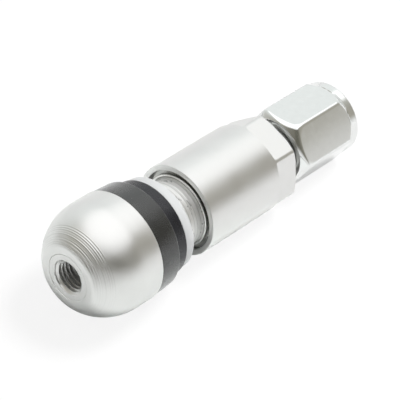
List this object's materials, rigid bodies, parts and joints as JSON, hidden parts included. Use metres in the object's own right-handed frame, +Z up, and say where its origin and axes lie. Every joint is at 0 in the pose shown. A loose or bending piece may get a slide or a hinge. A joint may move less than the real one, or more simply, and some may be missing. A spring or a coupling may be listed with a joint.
{
  "type": "tyre valve",
  "caption": "Clamp-in metal tyre valve: ball head with a threaded hole, rubber grommet, washer, long sleeve nut with a hexagonal end, hexagonal screw cap and a sprung core inside.",
  "frame": {"origin": "on the valve's axis, in the face of the grommet's flange that seals on the inside of the rim", "axes": "+X along the valve's axis from the ball head to the cap, +Z up with the valve lying on its side"},
  "size_m": [0.0539, 0.0164, 0.0164],
  "materials": {
    "stem_metal": "satin, turned",
    "nut_metal": "satin, turned",
    "ring_metal": "turned",
    "cap_metal": "plated, semi-bright",
    "grommet_rubber": "moulded, satin",
    "washer_plastic": "smooth, satin",
    "seal_rubber": "moulded",
    "gasket_polymer": "moulded",
    "core_brass": "turned",
    "spring_steel": "drawn wire"
  },
  "bodies": {
    "stem": {"valve_stem": "stem_metal", "grommet": "grommet_rubber", "washer": "washer_plastic", "core_plug": "core_brass", "core_barrel": "core_brass", "core_gasket": "gasket_polymer", "core_spring": "spring_steel"},
    "nut_ring": {"thrust_ring": "ring_metal"},
    "nut": {"sleeve_nut": "nut_metal"},
    "cap_ring": {"cap_seal": "seal_rubber"},
    "cap": {"valve_cap": "cap_metal"},
    "pin": {"core_pin": "core_brass", "core_cup": "core_brass", "core_cup_seal": "seal_rubber"}
  },
  "joints": [
    {"name": "nut_travel", "type": "slide", "parent": "stem", "child": "nut_ring", "axis": [1, 0, 0], "range_m": [-0.00391, 0.00201]},
    {"name": "nut_turn", "type": "hinge", "parent": "nut_ring", "child": "nut", "pos_m": [0, 0, 0], "axis": [1, 0, 0], "range_deg": [-1404, 720]},
    {"name": "cap_travel", "type": "slide", "parent": "stem", "child": "cap_ring", "axis": [1, 0, 0], "range_m": [0, 0.00953]},
    {"name": "cap_turn", "type": "hinge", "parent": "cap_ring", "child": "cap", "pos_m": [0, 0, 0], "axis": [1, 0, 0], "range_deg": [0, 4320]},
    {"name": "pin_push", "type": "slide", "parent": "stem", "child": "pin", "axis": [1, 0, 0], "range_m": [-0.0015, 0], "stiffness_N_per_m": 800, "springref_m": 0.001, "deforming": ["core_spring"]}
  ],
  "couplings": [
    {"joint": "nut_travel", "follows": "nut_turn", "m_per_rad": 0.00015915},
    {"joint": "cap_travel", "follows": "cap_turn", "m_per_rad": 0.00012633}
  ]
}
